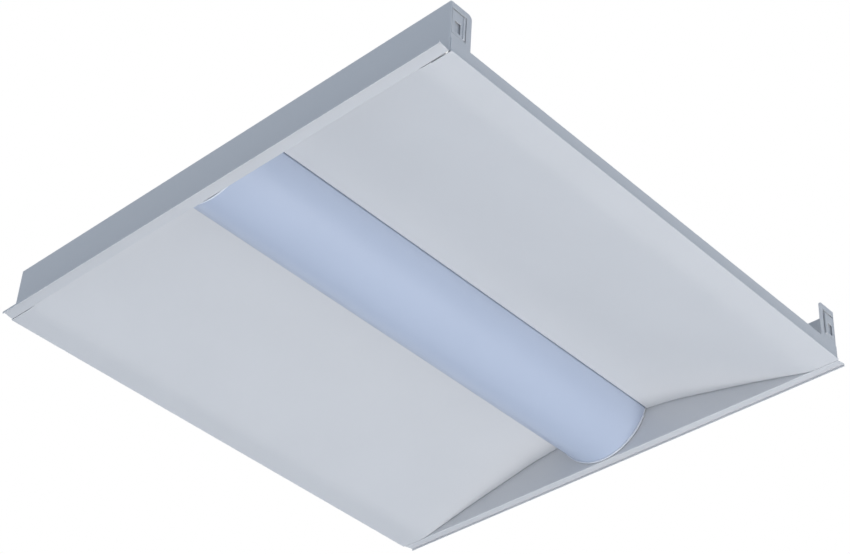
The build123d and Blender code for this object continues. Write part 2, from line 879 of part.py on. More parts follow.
def lap_screws(name, y_places):
    """Slotted pan-head screws that stand in the lap of the cover or the box over the spine."""
    seat = cover_top + seam_gap
    with BuildPart() as screws:
        with BuildSketch(Plane.XY.offset(seat)):
            with Locations([(lap_screw_x, y) for y in y_places]):
                Circle(screw_head_radius)
        extrude(amount=screw_head)
        with BuildSketch(Plane.XY.offset(seat)):
            with Locations([(lap_screw_x, y) for y in y_places]):
                Circle(screw_radius)
        extrude(amount=-screw_length)
        with BuildSketch(Plane.XY.offset(seat + screw_head - screw_slot_depth)):
            with Locations([(lap_screw_x, y) for y in y_places]):
                Rectangle(2 * screw_head_radius, screw_slot_width)
        extrude(amount=screw_slot_depth, mode=Mode.SUBTRACT)
    save(screws, name)


lap_screws("cover_screws", cover_screw_places)
lap_screws("box_screws", box_screw_places)

# ---- Wiring box ----------------------------------------------------------------------------

box_mid_y = (box_start + box_end) / 2
box_leg = above_wing(foot_lift, cover_top, tray_outer_x - sheet, tray_outer_x)
box_end_wall = above_wing(
    foot_lift, cover_top, spine_half_width + spine_foot + seam_gap, tray_outer_x
)

with BuildPart() as wiring_box:
    with BuildSketch(section_at(box_mid_y)):
        with Locations((tray_outer_x, cover_top)):
            Rectangle(tray_outer_x - cover_inner_x, sheet, align=(Align.MAX, Align.MAX))
        add(box_leg)
        add(tray_outer_foot)
    extrude(amount=(box_end - box_start) / 2, both=True)
    with BuildSketch(section_at(box_end - sheet / 2)):
        add(box_end_wall)
    extrude(amount=sheet / 2, both=True)
    with BuildSketch(Plane.XY.offset(cover_under)):
        with Locations((knockout_open_x, knockout_y), (knockout_slug_x, knockout_y)):
            Circle(knockout_radius)
        with Locations([(lap_screw_x, y) for y in box_screw_places]):
            Circle(screw_radius + hole_clearance)
    extrude(amount=sheet, mode=Mode.SUBTRACT)
save(wiring_box, "wiring_box")

with BuildPart() as knockout_slug:
    with BuildSketch(Plane.XY.offset(cover_under)):
        with Locations((knockout_slug_x, knockout_y)):
            Circle(knockout_radius - slug_gap)
    extrude(amount=sheet)
save(knockout_slug, "knockout_slug")

# ---- Driver --------------------------------------------------------------------------------

driver_mid_y = driver_start + driver_length / 2
driver_base_z = platform_top + seam_gap

with BuildPart() as driver_base:
    with BuildSketch(Plane.XY.offset(driver_base_z)) as base_outline:
        with Locations((driver_x, driver_mid_y)):
            Rectangle(driver_width, driver_length + 2 * driver_ear)
        fillet(base_outline.vertices(), radius=driver_corner)
        with Locations(driver_screw_places):
            Circle(driver_screw_radius + hole_clearance, mode=Mode.SUBTRACT)
    extrude(amount=driver_base_thickness)
save(driver_base, "driver_base")

with BuildPart() as driver_case:
    with BuildSketch(Plane.XY.offset(driver_base_top + seam_gap)):
        with Locations((driver_x, driver_mid_y)):
            Rectangle(driver_width, driver_length)
    extrude(amount=driver_height)
    rounded = driver_case.edges().filter_by(Axis.Y).group_by(Axis.Z)[-1]
    fillet(rounded, radius=driver_corner)
save(driver_case, "driver_case")

with BuildPart() as driver_screws:
    with BuildSketch(Plane.XY.offset(driver_base_top + seam_gap)):
        with Locations(driver_screw_places):
            Circle(screw_head_radius)
    extrude(amount=screw_head)
    with BuildSketch(Plane.XY.offset(driver_base_top + seam_gap)):
        with Locations(driver_screw_places):
            Circle(driver_screw_radius)
    extrude(amount=-driver_screw_length)
save(driver_screws, "driver_screws")

terminal_mid_z = driver_base_top + seam_gap + driver_height / 2
driver_ports = (driver_x - terminal_port_pitch / 2, driver_x + terminal_port_pitch / 2)


def terminal(name, face_y, outward):
    """Push-in wire terminal on one end face of the driver; gives the depth of its ports."""
    outer_y = face_y + outward * (seam_gap + terminal_length)
    with BuildPart() as block:
        with BuildSketch(section_at(face_y + outward * seam_gap)):
            with Locations((driver_x, terminal_mid_z)):
                RectangleRounded(terminal_width, terminal_height, driver_corner)
        extrude(amount=-outward * terminal_length)
        with BuildSketch(section_at(outer_y)):
            with Locations([(x, terminal_mid_z) for x in driver_ports]):
                Circle(terminal_port_radius)
        extrude(amount=outward * terminal_port_depth, mode=Mode.SUBTRACT)
    save(block, name)
    return outer_y - outward * terminal_port_depth


output_y = terminal("output_terminal", driver_start, -1)
input_y = terminal("input_terminal", driver_end, 1)

# ---- Wire bushing --------------------------------------------------------------------------

leg_mid_x = spine_half_width - sheet / 2
bushing_half = sheet / 2 + seam_gap + bushing_rim

with BuildPart() as wire_bushing:
    with BuildSketch(Plane.YZ.offset(leg_mid_x)):
        with Locations((bushing_y, bushing_z)):
            Circle(bushing_radius - seam_gap)
    extrude(amount=bushing_half, both=True)
    for side in (-1, 1):
        with BuildSketch(Plane.YZ.offset(leg_mid_x + side * (bushing_half - bushing_rim / 2))):
            with Locations((bushing_y, bushing_z)):
                Circle(bushing_radius + bushing_flange)
        extrude(amount=bushing_rim / 2, both=True)
    with BuildSketch(Plane.YZ.offset(leg_mid_x)):
        with Locations((bushing_y, bushing_z)):
            Circle(bushing_bore)
    extrude(amount=bushing_half, both=True, mode=Mode.SUBTRACT)
save(wire_bushing, "wire_bushing")

# ---- Luminaire disconnect, lying on the wing's back in the wiring box ----------------------

back_slope = atan(middle_slope)
slope_x_dir = (-cos(back_slope), 0, sin(back_slope))
disconnect_seat = back_height(disconnect_x) + disconnect_gap / cos(back_slope)
disconnect_pitch = disconnect_length + disconnect_gap


def on_slope(y):
    """Upright plane at distance y whose height is square to the wing's back under the disconnect."""
    return Plane(origin=(disconnect_x, y, disconnect_seat), x_dir=slope_x_dir, z_dir=(0, 1, 0))


port_offsets = (-port_pitch, 0, port_pitch)
mid_height = disconnect_height / 2


def disconnect_half(name, start_y, port_y, inward):
    """One half of the connector: a rounded block with three wire ports in its outer face."""
    with BuildPart() as half:
        with BuildSketch(on_slope(start_y)):
            with Locations((0, mid_height)):
                RectangleRounded(disconnect_width, disconnect_height, disconnect_corner)
        extrude(amount=disconnect_length)
        with BuildSketch(on_slope(port_y)):
            with Locations([(offset, mid_height) for offset in port_offsets]):
                Circle(port_radius)
        extrude(amount=inward * port_depth, mode=Mode.SUBTRACT)
    save(half, name)


disconnect_half("disconnect_socket", disconnect_y, disconnect_y, 1)
disconnect_half(
    "disconnect_plug",
    disconnect_y + disconnect_pitch,
    disconnect_y + disconnect_pitch + disconnect_length,
    -1,
)


def port_place(offset):
    """Centre of a wire port at the bottom of its hole in the socket."""
    x = disconnect_x - offset * cos(back_slope) + mid_height * sin(back_slope)
    z = disconnect_seat + offset * sin(back_slope) + mid_height * cos(back_slope)
    return x, disconnect_y + port_depth, z


# ---- Ground screw and ring -----------------------------------------------------------------

ring_z = platform_top + seam_gap
with BuildPart() as ground_ring:
    with BuildSketch(Plane.XY.offset(ring_z)):
        with Locations((ground_x, ground_y)):
            Circle(ground_ring_radius)
        with Locations((ground_x, ground_y)):
            Rectangle(
                2 * lead_radius + 2 * ground_ring_thickness,
                ground_tongue,
                align=(Align.CENTER, Align.MIN),
            )
        with Locations((ground_x, ground_y)):
            Circle(screw_radius + hole_clearance, mode=Mode.SUBTRACT)
    extrude(amount=ground_ring_thickness)
    with BuildSketch(section_at(ground_y + ground_tongue)):
        with Locations((ground_x, ring_z + ground_ring_thickness + lead_radius)):
            Circle(lead_radius + ground_ring_thickness)
    extrude(amount=ground_barrel_length / 2, both=True)
save(ground_ring, "ground_ring")

with BuildPart() as ground_screw:
    with BuildSketch(Plane.XY.offset(ring_z + ground_ring_thickness + seam_gap)):
        with Locations((ground_x, ground_y)):
            RegularPolygon(screw_head_radius, ground_screw_side_count)
    extrude(amount=screw_head)
    with BuildSketch(Plane.XY.offset(ring_z + ground_ring_thickness + seam_gap)):
        with Locations((ground_x, ground_y)):
            Circle(screw_radius)
    extrude(amount=-screw_length)
save(ground_screw, "ground_screw")

# ---- Leads ---------------------------------------------------------------------------------


def lead(name, *routes):
    """Insulated wires along their routes, straight runs joined by round bends."""
    with BuildPart() as wires:
        for points in routes:
            with BuildLine() as route:
                FilletPolyline(*points, radius=lead_bend)
            with BuildSketch(Plane(origin=route.line @ 0, z_dir=route.line % 0)):
                Circle(lead_radius)
            sweep(path=route.line)
    save(wires, name)


# Output pair: driver, along the near end of the compartment, bushing, first board
run_x = driver_x - driver_width / 2 - lead_turn
connector_mid_z = connector_under + connector_height / 2
inner_run_x = spine_half_width - lead_turn
for name, port_x, side in (("lead_red", driver_ports[0], -1), ("lead_blue", driver_ports[1], 1)):
    turn_y = bushing_y - side * output_pair_offset
    target_x = row_x + side * connector_port_offset
    lead(
        name,
        [
            (port_x, output_y, terminal_mid_z),
            (port_x, turn_y, terminal_mid_z),
            (run_x, turn_y, bushing_z),
            (inner_run_x, turn_y, bushing_z),
            (target_x, turn_y, connector_mid_z),
            (target_x, connector_end_y, connector_mid_z),
        ],
    )

# Pair between the two rows of boards
jumper_y = first_connector_y - lead_pitch / 2
lead(
    "lead_jumpers",
    *[
        [
            (row_x - connector_width / 2, y, connector_mid_z),
            (row_x - connector_width, y, connector_mid_z),
            (0, y, connector_mid_z - jumper_sag),
            (connector_width - row_x, y, connector_mid_z),
            (connector_width / 2 - row_x, y, connector_mid_z),
        ]
        for y in (jumper_y, jumper_y + lead_pitch)
    ],
)

# Supply pair: disconnect to the driver's input
for name, port_x, offset in (
    ("lead_black", driver_ports[1], port_offsets[0]),
    ("lead_white", driver_ports[0], port_offsets[1]),
):
    x, y, z = port_place(offset)
    lead(
        name,
        [
            (port_x, input_y, terminal_mid_z),
            (port_x, tray_end + lead_bend / 2, terminal_mid_z),
            (x, disconnect_y - lead_turn, z),
            (x, y, z),
        ],
    )

# Ground lead: disconnect to the ring on the tray
x, y, z = port_place(port_offsets[2])
ring_lead_z = ring_z + ground_ring_thickness + lead_radius
ring_lead_y = ground_y + ground_tongue + ground_barrel_length / 2
lead(
    "lead_green",
    [
        (ground_x, ring_lead_y, ring_lead_z),
        (ground_x, disconnect_y - 2 * lead_turn, ring_lead_z),
        (x, disconnect_y - lead_turn, z),
        (x, y, z),
    ],
)
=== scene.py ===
# %% [markdown]
# # A recessed troffer light, seen from the room below
#
# This light drops into a ceiling grid of 2 ft squares. From the room one sees two curved
# white wings, a curved diffuser between them and the flanges that lie on the grid. Above
# the ceiling are the spine channel with its rows of diodes, the driver under a hinged cover
# and the wiring box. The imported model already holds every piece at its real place, so this
# script gives those pieces their finishes and adds the small things that a maker would see:
# screw recesses, diode packages with their phosphor, and weld marks. Everything is in metres.

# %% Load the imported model
import json
import math

import bmesh
import bpy
from mathutils import Matrix, Quaternion, Vector
from mathutils.bvhtree import BVHTree


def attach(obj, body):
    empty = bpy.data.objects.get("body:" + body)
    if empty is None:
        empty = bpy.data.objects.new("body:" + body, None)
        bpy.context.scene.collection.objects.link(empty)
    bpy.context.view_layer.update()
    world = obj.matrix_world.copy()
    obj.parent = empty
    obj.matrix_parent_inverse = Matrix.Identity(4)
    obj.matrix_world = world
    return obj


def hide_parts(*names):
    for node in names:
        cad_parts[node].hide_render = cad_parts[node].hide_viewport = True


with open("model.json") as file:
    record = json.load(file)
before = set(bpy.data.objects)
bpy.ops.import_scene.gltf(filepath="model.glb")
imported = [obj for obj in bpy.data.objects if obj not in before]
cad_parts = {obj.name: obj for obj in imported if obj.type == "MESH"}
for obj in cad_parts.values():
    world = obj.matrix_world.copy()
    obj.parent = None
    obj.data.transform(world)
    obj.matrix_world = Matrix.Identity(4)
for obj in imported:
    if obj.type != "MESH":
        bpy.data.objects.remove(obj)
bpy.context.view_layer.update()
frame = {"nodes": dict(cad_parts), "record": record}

nodes = frame["nodes"]

# %% [markdown]
# ## The camera
#
# The picture of the light was taken from the room, about two metres away, looking up
# past one corner. The place of a camera can be found from straight edges whose real length
# is known: the four corners of the square and the top of the end plates fix it here. A long
# lens keeps the far edge nearly as large as the near one. A camera could also be turned by
# hand until it looks right, but then a lens and a distance that are both wrong can hide each
# other, so the numbers from the corners are kept.

# %% Camera at the viewing angle
CAMERA_PLACE = Vector((1.1430, -1.1369, -1.1631))
CAMERA_AIM = Vector((0.0443, -0.0474, 0.0300))
CAMERA_ROLL = math.radians(-3.61)
CAMERA_LENS = 83.56  # focal length in millimetres
SENSOR_WIDTH = 36.0  # millimetres

camera_data = bpy.data.cameras.new("room_camera")
camera_data.lens = CAMERA_LENS
camera_data.sensor_width = SENSOR_WIDTH
camera = bpy.data.objects.new("room_camera", camera_data)
bpy.context.scene.collection.objects.link(camera)
line_of_sight = (CAMERA_AIM - CAMERA_PLACE).normalized()
level_turn = line_of_sight.to_track_quat("-Z", "Y")
camera.rotation_mode = "QUATERNION"
camera.rotation_quaternion = Quaternion(line_of_sight, CAMERA_ROLL) @ level_turn
camera.location = CAMERA_PLACE
bpy.context.scene.camera = camera
bpy.context.scene.view_settings.view_transform = "Standard"
print("camera distance:", round((CAMERA_AIM - CAMERA_PLACE).length, 3))

# %% [markdown]
# ## Helpers for meshes and shader nodes
#
# A material is a graph: each node's output goes into the next one's input. Written out link by
# link that is long and hard to read, so these helpers take either a constant or another node's
# output for any input. They are used for the floor, the world and every finish below.

# %% Helpers
MIX_FACTOR, MIX_FIRST, MIX_SECOND, MIX_RESULT = 0, 6, 7, 2  # sockets of a mix of two colours


def mesh_object(name, bm):
    """Close a bmesh and put it in the scene as an object of that name."""
    mesh = bpy.data.meshes.new(name)
    bm.to_mesh(mesh)
    bm.free()
    made = bpy.data.objects.new(name, mesh)
    bpy.context.scene.collection.objects.link(made)
    return made


def feed(tree, socket, value):
    """Give an input its value: a link if it is another node's output, else a constant."""
    if isinstance(value, bpy.types.NodeSocket):
        tree.links.new(value, socket)
    else:
        socket.default_value = value


def shader_node(tree, kind, **values):
    """Add a node and feed its inputs by name, with spaces written as underscores."""
    made = tree.nodes.new(kind)
    for key, value in values.items():
        feed(tree, made.inputs[key.replace("_", " ")], value)
    return made


def math_node(tree, operation, *operands):
    """The result of a math node on numbers or sockets."""
    made = tree.nodes.new("ShaderNodeMath")
    made.operation = operation
    for socket, operand in zip(made.inputs, operands):
        feed(tree, socket, operand)
    return made.outputs["Value"]


def vector_node(tree, operation, *operands):
    """A vector math node on vectors or sockets."""
    made = tree.nodes.new("ShaderNodeVectorMath")
    made.operation = operation
    for socket, operand in zip(made.inputs, operands):
        feed(tree, socket, operand)
    return made


def mix_colour(tree, amount, first, second, blend_type="MIX"):
    """Mix two colours; an amount of 1 gives the second, or the full effect of the blend."""
    made = tree.nodes.new("ShaderNodeMix")
    made.data_type = "RGBA"
    made.blend_type = blend_type
    made.clamp_factor = True
    feed(tree, made.inputs[MIX_FACTOR], amount)
    feed(tree, made.inputs[MIX_FIRST], first)
    feed(tree, made.inputs[MIX_SECOND], second)
    return made.outputs[MIX_RESULT]


def blend_shaders(tree, amount, first, second, output):
    """Send a mix of two shaders to the output; an amount of 1 gives the second."""
    made = tree.nodes.new("ShaderNodeMixShader")
    for socket, value in zip(made.inputs, (amount, first, second)):
        feed(tree, socket, value)
    tree.links.new(made.outputs["Shader"], output.inputs["Surface"])


def new_material(name):
    """A material with an empty node tree and its output."""
    made = bpy.data.materials.new(name)
    made.use_nodes = True
    made.node_tree.nodes.clear()
    output = made.node_tree.nodes.new("ShaderNodeOutputMaterial")
    return made, made.node_tree, output


print("helpers for meshes, nodes, mixes and materials")

# %% [markdown]
# ## Room, floor and lamps
#
# A ceiling light hangs above the viewer, so its floor is a real floor, 2.4 m below it. The
# floor is a wide disc that turns to plain white away from its middle, where the shadow of
# the light falls. The world is white where the camera, a gloss or a clear surface sees it. Where
# it lights matt surfaces it is a dim cool blue, brighter below than above, so that a white
# background costs no extra light on the object and its shaded faces turn cool.

# %% Floor
FLOOR_LEVEL = -2.4
FLOOR_RADIUS = 14.0
FLOOR_SIDES = 96
FLOOR_SHADOW_RADIUS = 1.6
FLOOR_GREY = (0.86, 0.86, 0.86, 1.0)
WHITE = (1.0, 1.0, 1.0, 1.0)
ACROSS_THE_FLOOR = (1.0, 1.0, 0.0)

bm = bmesh.new()
bmesh.ops.create_circle(bm, cap_ends=True, radius=FLOOR_RADIUS, segments=FLOOR_SIDES)
bmesh.ops.translate(bm, vec=(0, 0, FLOOR_LEVEL), verts=bm.verts)
floor = mesh_object("floor", bm)

floor_material, tree, output = new_material("pale_floor")
matt = shader_node(tree, "ShaderNodeBsdfDiffuse", Color=FLOOR_GREY)
plain = shader_node(tree, "ShaderNodeEmission", Color=WHITE)
place = tree.nodes.new("ShaderNodeTexCoord").outputs["Object"]
flat = vector_node(tree, "MULTIPLY", place, ACROSS_THE_FLOOR)
fade = shader_node(
    tree,
    "ShaderNodeMapRange",
    Value=vector_node(tree, "LENGTH", flat.outputs["Vector"]).outputs["Value"],
    From_Min=FLOOR_SHADOW_RADIUS,
    From_Max=2 * FLOOR_SHADOW_RADIUS,
)
light_path = tree.nodes.new("ShaderNodeLightPath")
seen = math_node(tree, "MULTIPLY", fade.outputs["Result"], light_path.outputs["Is Camera Ray"])
blend_shaders(tree, seen, matt.outputs["BSDF"], plain.outputs["Emission"], output)
floor.data.materials.append(floor_material)
print("floor at", FLOOR_LEVEL)

# %% White surroundings that light the object coolly
LIGHT_FROM_BELOW = (0.234, 0.374, 0.571, 1.0)
LIGHT_FROM_ABOVE = (0.200, 0.270, 0.370, 1.0)
HORIZON_BLEND = 0.12

world = bpy.data.worlds.new("studio")
bpy.context.scene.world = world
world.use_nodes = True
tree = world.node_tree
tree.nodes.clear()
output = tree.nodes.new("ShaderNodeOutputWorld")
way = tree.nodes.new("ShaderNodeTexCoord").outputs["Generated"]
parts_of_way = shader_node(tree, "ShaderNodeSeparateXYZ", Vector=way)
upper = shader_node(
    tree,
    "ShaderNodeMapRange",
    Value=parts_of_way.outputs["Z"],
    From_Min=-HORIZON_BLEND,
    From_Max=HORIZON_BLEND,
)
light = mix_colour(tree, upper.outputs["Result"], LIGHT_FROM_BELOW, LIGHT_FROM_ABOVE)
even_light = shader_node(tree, "ShaderNodeBackground", Color=light)
seen_white = shader_node(tree, "ShaderNodeBackground", Color=WHITE)
light_path = tree.nodes.new("ShaderNodeLightPath")
seen = light_path.outputs["Is Camera Ray"]
for ray in ("Is Glossy Ray", "Is Transmission Ray"):
    seen = math_node(tree, "MAXIMUM", seen, light_path.outputs[ray])
blend_shaders(tree, seen, even_light.outputs[0], seen_white.outputs[0], output)
print("surroundings:", LIGHT_FROM_BELOW[:3], "above:", LIGHT_FROM_ABOVE[:3])

# %% [markdown]
# The lamps are wide soft boxes. The two below do most of the work, since the room side is
# what the picture shows; the one to the right makes the far side of the diffuser the
# brighter one. Two weak ones fill the upright faces that the camera sees. The lamp above and
# the lamp behind light the back of the sheet metal, so that white paint looks white there too;
# the floor throws some of their light back up, and the lamps below are weaker for it. The
# powers were found by lighting the object with one lamp at a time, solving for the mix that
# gives each face its brightness in the picture, and then trimming the lamps below.

# %% Soft lamps
LAMP_AIM = Vector((0.0, 0.0, 0.0))
LAMPS = {
    # name: place, width, power in watts
    "lamp_below": ((0.3, -0.2, -2.2), 2.6, 13.0),
    "lamp_below_right": ((1.2, 0.6, -2.0), 1.6, 25.5),
    "lamp_right": ((2.4, -0.6, -0.5), 1.6, 3.2),
    "lamp_near": ((0.6, -2.4, -0.6), 1.6, 8.5),
    "lamp_above": ((-0.8, 1.6, 2.2), 2.2, 50.0),
    "lamp_behind": ((-2.4, 2.0, 0.3), 1.6, 24.0),
}

for name, (spot, width, watts) in LAMPS.items():
    lamp_data = bpy.data.lights.new(name, "AREA")
    lamp_data.size = width
    lamp_data.energy = watts
    lamp = bpy.data.objects.new(name, lamp_data)
    bpy.context.scene.collection.objects.link(lamp)
    lamp.location = spot
    lamp.rotation_euler = (LAMP_AIM - Vector(spot)).to_track_quat("-Z", "Y").to_euler()
    lamp.visible_camera = False
    lamp.visible_glossy = False
print("lamps:", ", ".join(LAMPS))

# %% [markdown]
# ## Effects that several finishes share
#
# Paint, plated sheet and moulded plastic each have a fine skin, their own edges and a
# little dust on what faces up in the ceiling void. On the white paint and the moulded plastic
# the paler edges are a painted highlight; on plating the edges are dulled. Each effect is a
# node group with named inputs, so that a material only states its own amounts. A texture
# could carry them too, but noise on the object's own coordinates needs no unwrapping and
# stays sharp close up.

# %% A node group with named sockets
VECTOR, NUMBER = "NodeSocketVector", "NodeSocketFloat"


def new_group(name, inputs, outputs):
    """Make a shader group; inputs are (name, kind, value), outputs are (name, kind)."""
    group = bpy.data.node_groups.new(name, "ShaderNodeTree")
    for label, kind, value in inputs:
        socket = group.interface.new_socket(name=label, in_out="INPUT", socket_type=kind)
        if value is not None:
            socket.default_value = value
    for label, kind in outputs:
        group.interface.new_socket(name=label, in_out="OUTPUT", socket_type=kind)
    entry = group.nodes.new("NodeGroupInput")
    leave = group.nodes.new("NodeGroupOutput")
    return group, entry, leave


def per_metre(tree, size):
    """The scale of a pattern whose features have that size in metres."""
    return math_node(tree, "DIVIDE", 1.0, size)


def around_zero(tree, value):
    """A value between 0 and 1, moved to lie around zero."""
    return math_node(tree, "SUBTRACT", value, 0.5)


print("groups take", VECTOR, "and", NUMBER)

# %% [markdown]
# **Skin.** Powder paint flows into a low, even orange peel a millimetre or two across, and
# over a whole sheet its shade drifts by a percent or two. The group gives the small relief
# as a height and the drift as a number around zero.

# %% Skin of paint and plastic
skin, entry, leave = new_group(
    "skin",
    [("Place", VECTOR, None), ("Grain Size", NUMBER, 0.0015), ("Drift Size", NUMBER, 0.06)],
    [("Height", NUMBER), ("Drift", NUMBER)],
)
for size, result, detail in (("Grain Size", "Height", 2.0), ("Drift Size", "Drift", 3.0)):
    noise = shader_node(
        skin,
        "ShaderNodeTexNoise",
        Vector=entry.outputs["Place"],
        Scale=per_metre(skin, entry.outputs[size]),
        Detail=detail,
        Roughness=0.5,
    )
    skin.links.new(around_zero(skin, noise.outputs["Fac"]), leave.inputs[result])
print("group:", skin.name)

# %% [markdown]
# ** Edges.** On the white paint and on moulded plastic the edges are made paler, a painted
# highlight; plating dulls there, and the other paints take their own edge colour. A bevel
# node looks round the corner and gives a softened normal; where that differs from the true
# one there is an edge. Noise breaks the line up a little.

# %% Edges
EDGE_SAMPLES = 4

edges, entry, leave = new_group(
    "edges",
    [("Place", VECTOR, None), ("Width", NUMBER, 0.0006), ("Break Up", NUMBER, 0.4)],
    [("Mask", NUMBER)],
)
soft = shader_node(edges, "ShaderNodeBevel", Radius=entry.outputs["Width"])
soft.samples = EDGE_SAMPLES
true_normal = edges.nodes.new("ShaderNodeNewGeometry").outputs["True Normal"]
alike = vector_node(edges, "DOT_PRODUCT", soft.outputs["Normal"], true_normal)
bend = math_node(edges, "SUBTRACT", 1.0, alike.outputs["Value"])
gain = shader_node(edges, "ShaderNodeMapRange", Value=bend, From_Min=0.02, From_Max=0.25)
patches = shader_node(
    edges, "ShaderNodeTexNoise", Vector=entry.outputs["Place"], Scale=120.0, Detail=2.0
)
gaps = math_node(edges, "MULTIPLY", patches.outputs["Fac"], entry.outputs["Break Up"])
whole = math_node(edges, "SUBTRACT", 1.0, gaps)
edges.links.new(math_node(edges, "MULTIPLY", gain.outputs["Result"], whole), leave.inputs["Mask"])
print("group:", edges.name)

# %% [markdown]
# **Dust.** In a ceiling void, dust lies on what faces up and never on the room side. The
# object's own normal says which way a face points, so the dust turns with a cover that is
# opened instead of sliding over it.

# %% Dust on the faces that look up
dust, entry, leave = new_group(
    "dust", [("Place", VECTOR, None), ("Amount", NUMBER, 0.15)], [("Mask", NUMBER)]
)
own_normal = dust.nodes.new("ShaderNodeTexCoord").outputs["Normal"]
parts_of_normal = shader_node(dust, "ShaderNodeSeparateXYZ", Vector=own_normal)
upward = shader_node(
    dust, "ShaderNodeMapRange", Value=parts_of_normal.outputs["Z"], From_Min=0.5, From_Max=0.95
)
clouds = shader_node(
    dust,
    "ShaderNodeTexNoise",
    Vector=entry.outputs["Place"],
    Scale=18.0,
    Detail=6.0,
    Roughness=0.62,
)
spread = shader_node(
    dust, "ShaderNodeMapRange", Value=clouds.outputs["Fac"], From_Min=0.35, From_Max=0.7
)
lying = math_node(dust, "MULTIPLY", upward.outputs["Result"], spread.outputs["Result"])
dust.links.new(math_node(dust, "MULTIPLY", lying, entry.outputs["Amount"]), leave.inputs["Mask"])
print("group:", dust.name)

# %% [markdown]
# **Zinc spangle and rolling lines.** Hot-dipped sheet freezes into crystals a few
# millimetres across, each a slightly different grey and gloss. Rolling and drawing leave
# long faint lines. The first is a cell pattern whose borders are stirred by noise, and the
# second is noise stretched along one way of the object.

# %% Spangle of zinc-coated sheet
CRYSTAL_STIR = (0.004, 0.004, 0.004)

spangle, entry, leave = new_group(
    "spangle", [("Place", VECTOR, None), ("Cell Size", NUMBER, 0.006)], [("Shade", NUMBER)]
)
stir = shader_node(
    spangle, "ShaderNodeTexNoise", Vector=entry.outputs["Place"], Scale=90.0, Detail=2.0
)
nudge = vector_node(
    spangle, "MULTIPLY_ADD", stir.outputs["Color"], CRYSTAL_STIR, entry.outputs["Place"]
)
cells = shader_node(
    spangle,
    "ShaderNodeTexVoronoi",
    Vector=nudge.outputs["Vector"],
    Scale=per_metre(spangle, entry.outputs["Cell Size"]),
)
one_channel = shader_node(spangle, "ShaderNodeSeparateColor", Color=cells.outputs["Color"])
spangle.links.new(around_zero(spangle, one_channel.outputs["Red"]), leave.inputs["Shade"])
print("group:", spangle.name)

# %% Lines along the sheet
lines, entry, leave = new_group(
    "lines",
    [("Place", VECTOR, None), ("Spacing", NUMBER, 0.001), ("Stretch", VECTOR, (1.0, 0.01, 1.0))],
    [("Height", NUMBER)],
)
drawn_out = vector_node(lines, "MULTIPLY", entry.outputs["Place"], entry.outputs["Stretch"])
noise = shader_node(
    lines,
    "ShaderNodeTexNoise",
    Vector=drawn_out.outputs["Vector"],
    Scale=per_metre(lines, entry.outputs["Spacing"]),
    Detail=3.0,
    Roughness=0.6,
)
lines.links.new(around_zero(lines, noise.outputs["Fac"]), leave.inputs["Height"])
print("group:", lines.name)

# %% [markdown]
# ## What every finish is built from
#
# A finish starts from a plain colour and roughness. The groups above then change the colour a
# little from place to place, the roughness with it, and the relief of the skin. Each of those
# steps is one short function, so that a finish reads as a list of what is on the surface.

# %% Steps of a finish
DUST_COLOUR = (0.30, 0.28, 0.25, 1.0)


def use_group(tree, group, place, **values):
    """Place a shared group in a material, fed with object coordinates and its own amounts."""
    made = tree.nodes.new("ShaderNodeGroup")
    made.node_tree = group
    feed(tree, made.inputs["Place"], place)
    for key, value in values.items():
        feed(tree, made.inputs[key.replace("_", " ")], value)
    return made.outputs


def varied(tree, base, shade, strength):
    """A number such as a roughness that follows a value around zero."""
    return math_node(tree, "ADD", math_node(tree, "MULTIPLY", shade, strength), base)


def shaded(tree, colour, shade, strength):
    """The colour, made a little lighter or darker by a value around zero."""
    factor = varied(tree, 1.0, shade, strength)
    grey = shader_node(tree, "ShaderNodeCombineColor", Red=factor, Green=factor, Blue=factor)
    return mix_colour(tree, 1.0, colour, grey.outputs["Color"], "MULTIPLY")


def scaled(colour, factor, lift=0.0):
    """A plain colour times a factor and raised by a lift, kept at 1 or below."""
    return tuple(min(1.0, factor * channel + lift) for channel in colour[:3]) + (1.0,)


def relief(tree, height, depth):
    """A bump of that depth in metres from a height around zero."""
    return shader_node(tree, "ShaderNodeBump", Distance=depth, Height=height).outputs["Normal"]


def new_finish(name):
    """A material with its tree and output, and the place on the object that patterns follow."""
    material, tree, output = new_material(name)
    return material, tree, output, tree.nodes.new("ShaderNodeTexCoord").outputs["Object"]


def surface(tree, output, **values):
    """The material's own surface shader, with its inputs fed by name."""
    made = shader_node(tree, "ShaderNodeBsdfPrincipled", **values)
    tree.links.new(made.outputs["BSDF"], output.inputs["Surface"])


print("dust is", DUST_COLOUR[:3])

# %% [markdown]
# ## Painted sheet steel
#
# The wings, end plates and clips are cold-rolled sheet with a satin white powder coat. In
# the room it reads as a cool pale grey. Most of the look is the plain colour and a broad,
# soft gloss; the skin, the painted highlight along the edges and the dust only take away the
# look of plastic.

# %% Powder paint
WING_PAINT = (0.674, 0.665, 0.663, 1.0)
# A painted highlight: the edges of the white sheet are made paler than the paint.
WING_EDGE_HIGHLIGHT = (0.800, 0.795, 0.790, 1.0)


def painted_sheet(name, colour, edge_colour, dustiness):
    """Powder paint on folded sheet."""
    material, tree, output, place = new_finish(name)
    peel = use_group(tree, skin, place, Grain_Size=0.0016, Drift_Size=0.09)
    rim = use_group(tree, edges, place, Width=0.0006, Break_Up=0.3)
    lying = use_group(tree, dust, place, Amount=dustiness)
    tone = shaded(tree, colour, peel["Drift"], strength=0.05)
    # The edge colour is mixed in along the edges; on the white paint it is a painted highlight.
    tone = mix_colour(tree, rim["Mask"], tone, edge_colour)
    tone = mix_colour(tree, lying["Mask"], tone, DUST_COLOUR)
    surface(
        tree,
        output,
        Base_Color=tone,
        Roughness=varied(tree, 0.46, peel["Drift"], strength=0.10),
        Normal=relief(tree, peel["Height"], depth=0.00004),
        Coat_Weight=0.12,
        Coat_Roughness=0.25,
    )
    return material


